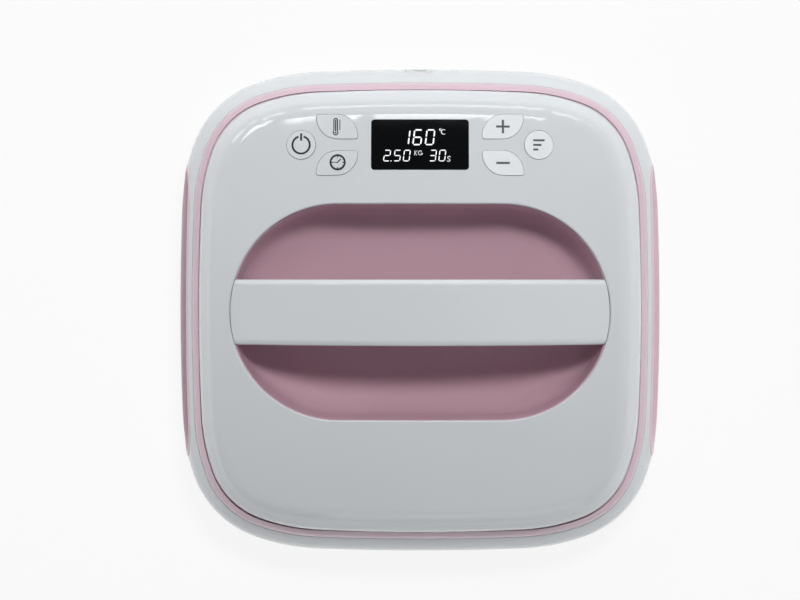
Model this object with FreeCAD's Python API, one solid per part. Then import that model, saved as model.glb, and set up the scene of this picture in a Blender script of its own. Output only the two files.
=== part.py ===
import FreeCAD, Part
import functools
import math
import os
from FreeCAD import Vector

os.makedirs("parts", exist_ok=True)

# Handheld heat press, in millimetres.
# The frame stands on the pressing face of the heat plate: +Z up, +Y to the rear, +X to the right.

# Outline of the body from above: each side is one long arc, each corner a tight arc between two shoulders
body_half = 140.0
side_radius = 1480.0
side_angle = math.radians(2.3)
shoulder_radius = 125.0
shoulder_angle = math.radians(19.6)

# Lower shell: a wall that bulges between two tucked-in edges
shell_wall = 2.6
shell_bottom_z = 6.0
shell_widest_z = 27.0
shell_top_z = 50.0
shell_bottom_tuck = 7.0
shell_top_tuck = 9.4
shell_flange = 2.6
shell_flange_reach = 18.6

# Side grips: long scoops of round section whose ends curve out of the body, with a lining
grip_radius = 11.2
grip_half_straight = 61.0
grip_end_radius = 20.0
grip_centre_inset = 2.0
grip_rim_proud = 0.3
grip_rim_radius = 0.6
grip_rim_least_edge = 5.0
grip_z = 35.0
grip_wall = 2.2
side_panel_margin = 2.0

# Top cover: a crowned lid with a rolled edge
cover_inset = 14.7
cover_wall = 2.5
cover_crown_z = 86.5
crown_radius = 640.0
cover_edge_radius = 18.0
opening_lip_radius = 0.9
opening_clearance = 0.2

# Trim ring between the shell and the cover
trim_height = 7.6
trim_inset = 9.6
trim_bulge = 0.7
trim_seam_height = 1.0
trim_seam_depth = 1.0
trim_seam_width = 0.5
trim_lip_wall = 1.4
trim_lip_height = 2.0
trim_lip_clearance = 0.3

# Handle opening and bowl: a stadium with drafted walls and a round bottom
opening_half_straight = 46.0
opening_radius = 60.0
opening_z = 80.0
bowl_floor_z = 46.0
bowl_draft = math.radians(5.0)
bowl_bottom_radius = 16.0
bowl_wall = 2.4
bowl_flange_reach = 9.0
bowl_flange_thickness = 2.0

# Handle: an arch on two feet that stand in the ends of the bowl
handle_width = 36.5
handle_top_z = 102.0
handle_end_z = 77.3
handle_underside_z = 81.0
handle_underside_radius = 260.0
handle_foot_x = 89.0
handle_corner_radius = 16.0
handle_top_edge_radius = 3.5
handle_bottom_edge_radius = 6.0
handle_wall = 2.4
handle_split_drop = 8.0
handle_screw_x = 97.0
handle_screw_y = 9.0

# Display
display_x = 0.0
display_y = 93.2
display_width = 54.2
display_depth = 28.1
display_corner = 1.8
display_clearance = 0.12
display_rim = 1.6
display_rim_thickness = 1.2
display_glass = 2.2
display_module_gap = 0.3

# Buttons: two round caps and four leaf-shaped ones, two of whose corners are sharp
round_button_x = 66.3
round_button_y = 93.2
round_button_radius = 8.1
leaf_button_x = 46.2
leaf_button_rear_y = 103.4
leaf_button_front_y = 83.0
leaf_button_width = 23.0
leaf_button_depth = 13.9
leaf_round_corner = 12.0
leaf_sharp_corner = 1.2
leaf_least_corner = 0.3
button_clearance = 0.2
button_proud = 0.4
button_rim_radius = 0.35
button_skin = 1.6
button_wall = 1.4
button_flange = 1.0
button_flange_thickness = 1.2
button_flange_gap = 0.15
button_travel = 0.6
stem_radius = 1.7
stem_guide_clearance = 0.35

# Boards and what is on them
board_thickness = 1.6
board_corner = 3.0
control_board_z = 60.0
control_board_width = 156.0
control_board_front_y = 74.0
control_board_rear_y = 110.0
control_post_inset = 5.0
post_radius = 3.6
switch_size = 6.0
switch_height = 3.5
switch_nub_radius = 1.7
switch_nub_height = 1.0
switch_gap = 0.05
guide_z = 65.8
guide_thickness = 1.5
power_board_z = 35.0
power_board_width = 176.0
power_board_front_y = -113.0
power_board_rear_y = -68.0
transformer_size = (28.0, 24.0, 21.0)
transformer_x = -52.0
coil_width = 17.4
coil_overhang = 3.0
coil_inset = 3.0
coil_corner = 4.0
capacitor_radius = 8.0
capacitor_height = 22.0
capacitor_x = -22.0
capacitor_chamfer = 0.8
relay_size = (19.0, 15.5, 15.5)
relay_x = 6.0
heatsink_size = (26.0, 14.0, 25.0)
heatsink_fins = 5
heatsink_fin = 1.4
heatsink_back = 2.1
heatsink_x = 36.0
fuse_radius = 2.6
fuse_length = 20.0
fuse_x = -8.0
fuse_lift = 1.0
fuse_clip_length = 4.0
fuse_clip_wall = 0.8
fuse_clip_inset = 3.0
terminal_size = (30.0, 12.0, 14.0)
terminal_poles = 3
terminal_x = 66.0
terminal_hole_depth = 4.0
component_y = -93.0
fuse_y = -107.0
buzzer_radius = 6.0
buzzer_height = 9.5
buzzer_x = -66.0
buzzer_y = 89.0
buzzer_hole_radius = 1.0
buzzer_hole_depth = 2.0
moulded_corner = 0.8
ribbon_width = 18.0
ribbon_thickness = 1.0
ribbon_x = -40.0
ribbon_bend = 4.0
ribbon_rear_y = 92.0
ribbon_connector_size = (24.0, 6.0, 7.0)

# Chassis tray: carries the boards, the cells and the edge of the shell
tray_half = 122.0
tray_wall = 2.5
tray_floor_z = 29.0
tray_floor = 2.5
tray_foot_z = 23.0
tray_flange_half = 128.0
tray_boss_radius = 4.8

# Hot parts under the tray
plate_half = 126.5
plate_thickness = 7.0
plate_edge_radius = 1.6
heater_half = 70.0
heater_corner = 16.0
heater_radius = 3.3
heater_sink = 1.0
heater_clearance = 0.2
heater_rib = 3.0
heater_rib_height = 6.0
heater_gap = 34.0
terminal_pin_radius = 1.2
terminal_pin_length = 8.0
post_x = 88.0
plate_boss_radius = 8.0
plate_boss_height = 5.0
standoff_radius = 6.0
standoff_height = 12.5
standoff_bore = 2.2
insulation_half = 118.0
insulation_thickness = 9.2
insulation_clearance = 0.6
shield_half = 119.0
shield_thickness = 0.8
sensor_radius = 3.0
sensor_length = 16.0
sensor_boss_radius = 7.0
sensor_boss_height = 3.0
saddle_width = 5.0
saddle_wall = 1.0
cutoff_radius = 8.0
cutoff_height = 7.0
cutoff_y = -36.0
cutoff_tab_size = (1.0, 6.0, 6.0)
cutoff_tab_x = 4.0
hot_margin = 2.0
cell_span = 28.0
cell_width = 14.0
cell_thickness = 3.5
cell_end = 7.0
cell_bore_radius = 2.5
cell_bore_spacing = 6.5
cell_corner = 2.0

# Black skirt between the hot plate and the shell
skirt_clearance = 0.8
skirt_wall = 2.3
skirt_bottom_z = 5.0
skirt_flange = 2.0
skirt_seat = 2.5

# Cord gland in the rear wall, and the clamp behind it
gland_radius = 8.5
gland_z = 36.0
gland_length = 12.0
gland_clearance = 0.15
gland_flange = 2.0
cord_bore_radius = 3.6
clamp_width = 26.0
clamp_depth = 9.0
clamp_height = 9.0
clamp_y = 104.0
clamp_corner = 2.0
clamp_squeeze = 0.2
cord_passage_radius = 4.6

# Screws
screw_radius = 1.5
screw_head_radius = 2.9
screw_head_height = 1.9
screw_clearance = 0.15
screw_bite = 9.0
board_screw_bite = 7.0

# Levels and widths that follow from the sizes above
cover_half = body_half - cover_inset
cover_base_z = shell_top_z + trim_height
crown_centre = Vector(0, 0, cover_crown_z - crown_radius)
quarter_turn = math.pi / 2
tray_inner_half = tray_half - tray_wall
tray_top_z = shell_top_z - shell_flange
tray_floor_top_z = tray_floor_z + tray_floor
plate_top_z = plate_thickness
heater_floor_z = plate_top_z - heater_sink
heater_axis_z = heater_floor_z + heater_radius
insulation_z = plate_top_z + heater_rib_height
insulation_top_z = insulation_z + insulation_thickness
shield_top_z = insulation_top_z + shield_thickness
standoff_z = plate_top_z + plate_boss_height
cell_z = standoff_z + standoff_height
cell_top_z = cell_z + cell_thickness
control_board_top_z = control_board_z + board_thickness
power_board_top_z = power_board_z + board_thickness
switch_top_z = control_board_top_z + switch_height + switch_nub_height
stem_z = switch_top_z + switch_gap + button_travel


def corner_radius():
    """Radius that lets side, shoulder and corner arcs meet tangentially at 45 degrees."""
    middle = math.pi / 4
    side = side_radius * (1 - math.cos(side_angle) + math.sin(side_angle))
    shoulder = shoulder_radius * (math.cos(side_angle) - math.cos(shoulder_angle))
    shoulder += shoulder_radius * (math.sin(shoulder_angle) - math.sin(side_angle))
    span = math.cos(shoulder_angle) - math.cos(middle) + math.sin(middle) - math.sin(shoulder_angle)
    return (body_half - side - shoulder) / span


def outline_arcs():
    """Centre, radius, start and end of the sixteen arcs, with angles clockwise from +Y."""
    corner = corner_radius()
    side_centre = (0.0, body_half - side_radius)
    step = side_radius - shoulder_radius
    shoulder_centre = (step * math.sin(side_angle), side_centre[1] + step * math.cos(side_angle))
    step = shoulder_radius - corner
    corner_centre = (
        shoulder_centre[0] + step * math.sin(shoulder_angle),
        shoulder_centre[1] + step * math.cos(shoulder_angle),
    )
    mirrored = (shoulder_centre[1], shoulder_centre[0])
    quadrant = [
        (side_centre, side_radius, -side_angle, side_angle),
        (shoulder_centre, shoulder_radius, side_angle, shoulder_angle),
        (corner_centre, corner, shoulder_angle, quarter_turn - shoulder_angle),
        (mirrored, shoulder_radius, quarter_turn - shoulder_angle, quarter_turn - side_angle),
    ]
    arcs = []
    for turn in range(4):
        for (x, y), radius, start, end in quadrant:
            for _ in range(turn):
                x, y = y, -x
            arcs.append(((x, y), radius, start + turn * quarter_turn, end + turn * quarter_turn))
    return arcs


ARCS = outline_arcs()


def arc_point(centre, radius, angle, z):
    return Vector(centre[0] + radius * math.sin(angle), centre[1] + radius * math.cos(angle), z)


def slab(half, z_from, z_to):
    """Upright block with the body's outline, moved parallel to itself to the given half width."""
    edges = []
    for centre, radius, start, end in ARCS:
        offset = radius + half - body_half
        points = [arc_point(centre, offset, angle, z_from) for angle in (start, (start + end) / 2, end)]
        edges.append(Part.Arc(*points).toShape())
    return Part.Face(Part.Wire(edges)).extrude(Vector(0, 0, z_to - z_from))


def lines(*points):
    """Edges of a section from each point to the next."""
    return [(points[i], points[i + 1]) for i in range(len(points) - 1)]


def ring(section):
    """Band with a closed section, in half width and height, carried round the body's outline."""
    faces = []
    for centre, radius, start, end in ARCS:
        for edge in section:
            points = [arc_point(centre, radius + half - body_half, start, z) for half, z in edge]
            line = Part.makeLine(*points) if len(points) == 2 else Part.Arc(*points).toShape()
            axis_point = Vector(centre[0], centre[1], 0)
            faces.append(line.revolve(axis_point, Vector(0, 0, 1), -math.degrees(end - start)))
    shell = Part.makeShell(faces)
    shell.sewShape()
    return Part.makeSolid(shell)


def rounded_block(width, depth, radius, z_from, z_to, x=0.0, y=0.0):
    """Upright block with four rounded corners."""
    block = Part.makeBox(width, depth, z_to - z_from, Vector(x - width / 2, y - depth / 2, z_from))
    upright = [e for e in block.Edges if abs(e.BoundBox.ZLength - (z_to - z_from)) < 1e-6]
    return block.makeFillet(radius, upright)


def post(x, y, radius, z_from, z_to):
    return Part.makeCylinder(radius, z_to - z_from, Vector(x, y, z_from))


def corners(x, y):
    """The four places that mirror each other about the middle."""
    return [(sx * x, sy * y) for sx in (-1, 1) for sy in (-1, 1)]


def fuse_all(shapes):
    return shapes[0].multiFuse(shapes[1:]).removeSplitter()


def screw(x, y, head_z, tip_z, points_up=False):
    """Pan-head screw: the head's bearing face is at head_z and its point at tip_z."""
    low, high = min(head_z, tip_z), max(head_z, tip_z)
    shank = post(x, y, screw_radius, low, high)
    head_from = head_z - screw_head_height if points_up else head_z
    head = post(x, y, screw_head_radius, head_from, head_from + screw_head_height)
    return shank.fuse(head).removeSplitter()


def screw_hole(x, y, z_from, z_to):
    return post(x, y, screw_radius + screw_clearance, z_from, z_to)


def bulge(inset, z):
    """Half width of the lower shell at a height, moved inwards by inset."""
    above = z > shell_widest_z
    rise = shell_top_z - shell_widest_z if above else shell_widest_z - shell_bottom_z
    tuck = shell_top_tuck if above else shell_bottom_tuck
    radius = (rise**2 + tuck**2) / (2 * tuck)
    return body_half - radius + math.sqrt((radius - inset) ** 2 - (z - shell_widest_z) ** 2)


def bulge_arc(inset, z_from, z_to):
    """Arc of the shell's section between two heights on one side of the widest level."""
    return [tuple((bulge(inset, z), z) for z in (z_from, (z_from + z_to) / 2, z_to))]


def mirrored(shape):
    """The same shape on the other side of the middle plane."""
    return shape.mirror(Vector(0, 0, 0), Vector(1, 0, 0))


def scoop(grow):
    """Round bar that dips into the right side and bends outwards at both ends, grown all round."""
    x = body_half - grip_centre_inset
    start = Vector(x, -grip_half_straight, grip_z)
    bar = Part.makeCylinder(grip_radius + grow, 2 * grip_half_straight, start, Vector(0, 1, 0))
    bends = []
    for end in (-1, 1):
        centre = Vector(x, end * grip_half_straight, grip_z)
        face = Part.Face(Part.Wire([Part.makeCircle(grip_radius + grow, centre, Vector(0, 1, 0))]))
        pivot = centre + Vector(grip_end_radius, 0, 0)
        bends.append(face.revolve(pivot, Vector(0, 0, 1), -90 * end))
    return bar.multiFuse(bends).removeSplitter()


def side_panel_half():
    """Half length of the side panels, which reach just past the ends of the scoops."""
    across = grip_end_radius - grip_centre_inset
    bend = math.sqrt((grip_end_radius + grip_radius + grip_wall) ** 2 - across**2)
    return grip_half_straight + bend + side_panel_margin


def lower_shell():
    """Bulging band round the body, split into a front, a rear and two side panels that hold the scoops."""
    inner_top = tray_top_z
    inner_bottom = shell_bottom_z + shell_wall
    top = (bulge(0, shell_top_z), shell_top_z)
    flange_half = body_half - shell_flange_reach
    foot_half = plate_half + skirt_clearance + skirt_wall + skirt_clearance / 2
    section = bulge_arc(0, shell_bottom_z, shell_widest_z) + bulge_arc(0, shell_widest_z, shell_top_z)
    section += lines(top, (flange_half, shell_top_z), (flange_half, inner_top),
                     (bulge(shell_wall, inner_top), inner_top))
    section += bulge_arc(shell_wall, inner_top, shell_widest_z)
    section += bulge_arc(shell_wall, shell_widest_z, inner_bottom)
    section += lines((bulge(shell_wall, inner_bottom), inner_bottom), (foot_half, inner_bottom),
                     (foot_half, shell_bottom_z), (bulge(0, shell_bottom_z), shell_bottom_z))
    shell = ring(section)
    side_scoop = scoop(grip_wall)
    tools = [side_scoop, mirrored(side_scoop)]
    tools.append(Part.makeCylinder(gland_radius + gland_clearance, 2 * gland_length,
                                   Vector(0, body_half - gland_length - shell_wall, gland_z),
                                   Vector(0, 1, 0)))
    shell = shell.cut(tools)
    joint_y = side_panel_half()
    span = 2 * body_half
    front = Part.makeBox(span, span, span, Vector(-body_half, -joint_y - span, 0))
    rear = Part.makeBox(span, span, span, Vector(-body_half, joint_y, 0))
    left = Part.makeBox(span, 2 * joint_y, span, Vector(-span, -joint_y, 0))
    right = Part.makeBox(span, 2 * joint_y, span, Vector(0, -joint_y, 0))
    return {"lower_shell_front": shell.common(front), "lower_shell_rear": shell.common(rear),
            "side_panel_left": shell.common(left), "side_panel_right": shell.common(right)}


@functools.cache
def envelope(inset):
    """Solid ring inside the lower shell's outer face, moved inwards by inset, which trims what meets it."""
    low = shell_bottom_z + inset
    high = shell_top_z - inset
    section = bulge_arc(inset, low, shell_widest_z) + bulge_arc(inset, shell_widest_z, high)
    deep = body_half - shell_flange_reach - shell_wall
    section += lines((bulge(inset, high), high), (deep, high), (deep, low), (bulge(inset, low), low))
    return ring(section)


def side_grip():
    """Thin lining of the right scoop, whose rounded rim stands just proud of the shell."""
    lining = envelope(-grip_rim_proud).common(scoop(grip_wall)).cut(scoop(0))
    body = envelope(0)
    rim = []
    for edge in lining.Edges:
        middle = edge.valueAt((edge.FirstParameter + edge.LastParameter) / 2)
        if edge.Length > grip_rim_least_edge and not body.isInside(middle, 0.001, True):
            rim.append(edge)
    return lining.makeFillet(grip_rim_radius, rim)


def edge_roll(z):
    """How far the cover's inner face has rolled inwards at height z, at a corner, where it rolls most."""
    radius = cover_edge_radius - cover_wall
    (x, y), corner, _, _ = ARCS[2]
    reach = math.hypot(x, y) + corner - cover_inset - cover_edge_radius
    roll_z = crown_centre.z + math.sqrt((crown_radius - cover_edge_radius) ** 2 - reach**2)
    return radius - math.sqrt(radius**2 - max(z - roll_z, 0) ** 2)


def trim_ring():
    outer = (body_half - trim_inset, shell_top_z)
    seat_z = cover_base_z
    seam_z = seat_z - trim_seam_height
    upper = (cover_half + trim_seam_width, seat_z)
    middle = ((outer[0] + upper[0]) / 2 + trim_bulge, (outer[1] + upper[1]) / 2 + trim_bulge)
    seat_half = cover_half - trim_seam_depth
    lip_half = cover_half - cover_wall - edge_roll(seat_z + trim_lip_height) - trim_lip_clearance
    inner_half = lip_half - trim_lip_wall
    section = [(outer, middle, upper)]
    section += lines(upper, (upper[0], seam_z), (seat_half, seam_z), (seat_half, seat_z), (lip_half, seat_z),
                     (lip_half, seat_z + trim_lip_height), (inner_half, seat_z + trim_lip_height),
                     (inner_half, shell_top_z), outer)
    return ring(section)


@functools.cache
def cover_form(inset, z_from):
    """Crowned block of the cover, with every face moved inwards by inset, down to z_from."""
    block = slab(cover_half - inset, shell_bottom_z, cover_crown_z)
    ball = Part.makeSphere(crown_radius - inset, crown_centre)
    block = block.common(ball)
    crown = [f for f in block.Faces if isinstance(f.Surface, Part.Sphere)]
    block = block.makeFillet(cover_edge_radius - inset, crown[0].Edges)
    reach = 2 * body_half
    return block.common(Part.makeBox(reach, reach, reach, Vector(-body_half, -body_half, z_from)))


COVER_OUTER = cover_form(0, cover_base_z)
COVER_INNER = cover_form(cover_wall, shell_widest_z)


def stadium(grow, z):
    """Outline of the handle's opening, grown outwards."""
    radius = opening_radius + grow
    x = opening_half_straight
    right = Part.Arc(Vector(x, -radius, z), Vector(x + radius, 0, z), Vector(x, radius, z)).toShape()
    left = Part.Arc(Vector(-x, radius, z), Vector(-x - radius, 0, z), Vector(-x, -radius, z)).toShape()
    rear = Part.makeLine(Vector(x, radius, z), Vector(-x, radius, z))
    front = Part.makeLine(Vector(-x, -radius, z), Vector(x, -radius, z))
    return Part.Wire([right, rear, left, front])


def stadium_block(grow, z_from, z_to):
    return Part.Face(stadium(grow, z_from)).extrude(Vector(0, 0, z_to - z_from))


@functools.cache
def pocket(grow, z_to):
    """Space of the bowl, with drafted walls and a round bottom, grown outwards by grow."""
    floor_z = bowl_floor_z - grow
    slope = math.tan(bowl_draft)
    side = grow / math.cos(bowl_draft)
    low = stadium(side - (opening_z - floor_z) * slope, floor_z)
    high = stadium(side - (opening_z - z_to) * slope, z_to)
    block = Part.makeLoft([low, high], True, True)
    bottom = [e for e in block.Edges if abs(e.BoundBox.ZMax - floor_z) < 1e-3]
    return block.makeFillet(bowl_bottom_radius + grow, bottom)


def handle_void(inset):
    """Finger space under the handle, from the side, grown into the handle by inset."""
    big = handle_underside_radius + inset
    small = handle_corner_radius + inset
    foot = handle_foot_x + inset
    big_z = handle_underside_z - handle_underside_radius
    small_x = foot - small
    span = big - small
    small_z = big_z + math.sqrt(span**2 - small_x**2)
    lean = math.asin(small_x / span)
    low_z = bowl_floor_z - bowl_wall
    meet = Vector(big * math.sin(lean), 0, big_z + big * math.cos(lean))
    half_lean = (lean + quarter_turn) / 2
    middle = Vector(small_x + small * math.sin(half_lean), 0, small_z + small * math.cos(half_lean))
    end = Vector(foot, 0, small_z)

    def flip(point):
        return Vector(-point.x, point.y, point.z)

    edges = [
        Part.Arc(flip(meet), Vector(0, 0, big_z + big), meet).toShape(),
        Part.Arc(meet, middle, end).toShape(),
        Part.makeLine(end, Vector(foot, 0, low_z)),
        Part.makeLine(Vector(foot, 0, low_z), Vector(-foot, 0, low_z)),
        Part.makeLine(Vector(-foot, 0, low_z), flip(end)),
        Part.Arc(flip(end), flip(middle), flip(meet)).toShape(),
    ]
    return Part.Face(Part.Wire(edges))


def arch(drop, half_length, low_z):
    """Side view below the handle's top arc, lowered by drop."""
    rise = handle_top_z - handle_end_z
    reach = opening_half_straight + opening_radius
    radius = (reach**2 + rise**2) / (2 * rise) - drop
    centre_z = handle_top_z - drop - radius
    end_z = centre_z + math.sqrt(radius**2 - half_length**2)
    top = Part.Arc(Vector(-half_length, 0, end_z), Vector(0, 0, handle_top_z - drop),
                   Vector(half_length, 0, end_z)).toShape()
    rest = Part.makePolygon([Vector(half_length, 0, end_z), Vector(half_length, 0, low_z),
                             Vector(-half_length, 0, low_z), Vector(-half_length, 0, end_z)])
    return Part.Face(Part.Wire([top] + rest.Edges))


def handle_form(inset):
    """Handle with every face moved inwards by inset; its feet follow the bowl."""
    width = handle_width - 2 * inset
    half_length = opening_half_straight + opening_radius + bowl_wall
    low_z = bowl_floor_z - bowl_wall / 2
    depth = Vector(0, width, 0)
    side_face = arch(inset, half_length, low_z)
    side_face.translate(Vector(0, -width / 2, 0))
    void = handle_void(inset)
    void.translate(Vector(0, -width / 2, 0))
    body = side_face.extrude(depth).cut(void.extrude(depth))
    faces = [f for f in body.Faces if f.BoundBox.YLength < 1e-6]
    top_radius = handle_top_edge_radius - inset / 2
    low_radius = handle_bottom_edge_radius - inset / 2
    upper = [e for f in faces for e in f.Edges if e.BoundBox.ZMax > handle_top_z - inset - 1e-3]
    body = body.makeFillet(top_radius, upper)
    faces = [f for f in body.Faces if f.BoundBox.YLength < 1e-6]
    under = [e for f in faces for e in f.Edges
             if e.BoundBox.ZMax < handle_underside_z + inset + 1e-3
             and max(abs(e.BoundBox.XMin), abs(e.BoundBox.XMax)) < handle_foot_x + inset + 1e-3
             and e.BoundBox.ZMax > low_z + 1e-3]
    body = body.makeFillet(low_radius, under)
    return body.common(pocket(-inset, handle_top_z + handle_wall))


def handle_shells():
    """Upper and lower half of the hollow handle, parted along an arch below its top."""
    outer = handle_form(0)
    core = handle_form(handle_wall)
    skin = outer.cut(core)
    half_length = opening_half_straight + opening_radius + bowl_wall
    lower_side = arch(handle_split_drop, half_length, bowl_floor_z - bowl_wall)
    lower_side.translate(Vector(0, -handle_width, 0))
    lower_block = lower_side.extrude(Vector(0, 2 * handle_width, 0))
    top = skin.cut(lower_block)
    bottom = skin.common(lower_block)
    bosses = []
    for x, y in corners(handle_screw_x, handle_screw_y):
        bosses.append(post(x, y, tray_boss_radius, bowl_floor_z, handle_boss_z()).common(outer))
    tools = [screw_hole(x, y, bowl_floor_z - bowl_wall, handle_top_z)
             for x, y in corners(handle_screw_x, handle_screw_y)]
    tools += [post(x, y, screw_head_radius + screw_clearance, handle_boss_z(), handle_top_z)
              for x, y in corners(handle_screw_x, handle_screw_y)]
    return top, bottom.fuse(bosses).cut(tools)


def handle_boss_z():
    """Level of the screw seats inside the handle's feet."""
    return handle_end_z - handle_split_drop - screw_head_height - 2 * handle_wall


def handle_bowl():
    body = pocket(bowl_wall, cover_crown_z).common(COVER_INNER)
    rim = stadium_block(bowl_flange_reach, opening_z - 2 * bowl_flange_reach, cover_crown_z)
    flange = rim.common(COVER_INNER).cut(cover_form(cover_wall + bowl_flange_thickness, shell_top_z))
    body = body.fuse(flange).cut(pocket(0, cover_crown_z))
    holes = [screw_hole(x, y, shell_widest_z, opening_z) for x, y in corners(handle_screw_x, handle_screw_y)]
    holes += [screw_hole(x, y, shell_top_z, cover_crown_z) for x, y in bowl_screw_places()]
    return body.cut(holes)


def bowl_screw_places():
    """Six places on the middle of the bowl's flange."""
    reach = opening_radius + (bowl_wall + bowl_flange_reach) / 2 + bowl_wall / 4
    x = opening_half_straight
    return [(sx * x, sy * reach) for sx in (-1, 1) for sy in (-1, 1)] + [(0.0, -reach), (0.0, reach)]


def crown_z(x, y, inset):
    """Height of the crown, moved inwards by inset, above a place near the middle."""
    return crown_centre.z + math.sqrt((crown_radius - inset) ** 2 - x * x - y * y)


def bowl_screws():
    screws = []
    for x, y in bowl_screw_places():
        reach = screw_head_radius
        seat = crown_z(abs(x) + reach, abs(y) + reach, cover_wall + bowl_flange_thickness)
        tip = crown_z(x, y, cover_wall / 2)
        screws.append(screw(x, y, seat, tip, points_up=True))
    return screws


def handle_screws():
    screws = []
    for x, y in corners(handle_screw_x, handle_screw_y):
        screws.append(screw(x, y, handle_boss_z(), tray_floor_top_z + screw_bite / 2))
    return screws


def display_block(grow, z_from, z_to):
    return rounded_block(display_width + 2 * grow, display_depth + 2 * grow, display_corner + grow,
                         z_from, z_to, display_x, display_y)


def display_window():
    block = display_block(0, shell_top_z, cover_crown_z).common(COVER_OUTER)
    rim = display_block(display_rim, shell_top_z, cover_crown_z).common(COVER_INNER)
    plate = block.fuse(rim)
    return plate.cut(cover_form(cover_wall + display_rim_thickness, shell_top_z)).removeSplitter()


def display_module():
    """Glass cell and its frame, standing on the control board just under the window."""
    reach_y = display_y + display_depth / 2 + display_rim
    top_z = crown_z(display_width / 2 + display_rim, reach_y, cover_wall + display_rim_thickness)
    top_z -= display_module_gap
    shoulder_z = top_z - display_glass
    frame = display_block(display_rim, control_board_top_z, shoulder_z)
    return frame.fuse(display_block(0, shoulder_z, top_z)).removeSplitter()


def leaf_outline(grow, turned):
    """Leaf shape about the origin: two opposite corners sharp, two well rounded."""
    x = leaf_button_width / 2 + grow
    y = leaf_button_depth / 2 + grow
    sharp = max(leaf_sharp_corner + grow, leaf_least_corner)
    blunt = leaf_round_corner + grow
    block = Part.makeBox(2 * x, 2 * y, 1, Vector(-x, -y, 0))
    upright = [e for e in block.Edges if abs(e.BoundBox.ZLength - 1) < 1e-6]
    rising = [e for e in upright if (e.BoundBox.XMin > 0) == (e.BoundBox.YMin > 0)]
    falling = [e for e in upright if (e.BoundBox.XMin > 0) != (e.BoundBox.YMin > 0)]
    block = block.makeFillet(blunt, rising if turned else falling)
    rest = []
    for edge in block.Edges:
        box = edge.BoundBox
        upright = box.XLength < 1e-6 and box.YLength < 1e-6
        if upright and abs(abs(box.XMin) - x) < 1e-6 and abs(abs(box.YMin) - y) < 1e-6:
            rest.append(edge)
    return block.makeFillet(sharp, rest)


BUTTONS = {
    "power_button": (-round_button_x, round_button_y, None),
    "mode_button": (round_button_x, round_button_y, None),
    "temperature_button": (-leaf_button_x, leaf_button_rear_y, True),
    "timer_button": (-leaf_button_x, leaf_button_front_y, False),
    "plus_button": (leaf_button_x, leaf_button_rear_y, False),
    "minus_button": (leaf_button_x, leaf_button_front_y, True),
}


def button_block(name, grow, z_from, z_to):
    """Upright block with a button's outline, grown outwards."""
    x, y, turned = BUTTONS[name]
    if turned is None:
        return post(x, y, round_button_radius + grow, z_from, z_to)
    base = leaf_outline(grow, turned)
    face = [f for f in base.Faces if f.BoundBox.ZMax < 1e-6][0]
    face.translate(Vector(x, y, z_from))
    return face.extrude(Vector(0, 0, z_to - z_from))


def button_cap(name):
    """Hollow cap with a retaining flange under the cover and a stem that presses the switch."""
    x, y, _ = BUTTONS[name]
    low = shell_top_z
    high = cover_crown_z + button_proud
    flange_top = cover_form(cover_wall + button_flange_gap, low)
    flange_under = cover_form(cover_wall + button_flange_gap + button_flange_thickness, low)
    cap = button_block(name, 0, low, high).common(cover_form(-button_proud, low))
    top_radius = crown_radius + button_proud
    rim = []
    for edge in cap.Edges:
        if all(abs(v.Point.distanceToPoint(crown_centre) - top_radius) < 1e-3 for v in edge.Vertexes):
            rim.append(edge)
    cap = cap.makeFillet(button_rim_radius, rim)
    flange = button_block(name, button_flange, low, high).common(flange_top)
    cap = cap.fuse(flange).cut(flange_under)
    hollow = button_block(name, -button_wall, low, high).common(cover_form(button_skin - button_proud, low))
    cap = cap.cut(hollow)
    stem = post(x, y, stem_radius, stem_z, high).common(cover_form(0, low))
    return cap.fuse(stem).removeSplitter()


def control_posts():
    """Places of the posts that hold the control board under the cover."""
    x = control_board_width / 2 - control_post_inset
    near = control_board_front_y + control_post_inset
    far = control_board_rear_y - control_post_inset
    return [(sx * x, y) for sx in (-1, 1) for y in (near, far)]


def top_cover():
    skin = COVER_OUTER.cut(COVER_INNER)
    skin = skin.cut(stadium_block(opening_clearance, bowl_floor_z, cover_crown_z))
    lip = []
    for edge in skin.Edges:
        box = edge.BoundBox
        inside = max(abs(box.XMax), abs(box.XMin)) < opening_half_straight + opening_radius + 1
        on_top = all(abs(v.Point.distanceToPoint(crown_centre) - crown_radius) < 1e-3 for v in edge.Vertexes)
        if inside and on_top and max(abs(box.YMax), abs(box.YMin)) < opening_radius + 1:
            lip.append(edge)
    skin = skin.makeFillet(opening_lip_radius, lip)
    stems = [post(x, y, post_radius, control_board_top_z, cover_crown_z) for x, y in control_posts()]
    skin = skin.fuse([stem.common(COVER_INNER) for stem in stems])
    tools = [screw_hole(x, y, control_board_z, control_board_top_z + screw_bite)
             for x, y in control_posts()]
    tools += [screw_hole(x, y, shell_top_z, crown_z(x, y, cover_wall / 2)) for x, y in bowl_screw_places()]
    tools.append(display_block(display_clearance, shell_top_z, cover_crown_z))
    tools += [button_block(name, button_clearance, shell_top_z, cover_crown_z + 1) for name in BUTTONS]
    return skin.cut(tools)


def button_guide():
    """Frame under the caps with a hole for each stem and a window for the display module."""
    middle_y = (control_board_front_y + control_board_rear_y) / 2
    depth = control_board_rear_y - control_board_front_y
    plate = rounded_block(control_board_width, depth, board_corner, guide_z, guide_z + guide_thickness,
                          0, middle_y)
    tools = [display_block(display_rim + display_clearance, guide_z, cover_crown_z)]
    tools += [post(x, y, stem_radius + stem_guide_clearance, guide_z, cover_crown_z)
              for x, y, _ in BUTTONS.values()]
    tools += [post(x, y, post_radius, guide_z, cover_crown_z) for x, y in control_posts()]
    return plate.cut(tools)


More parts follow.
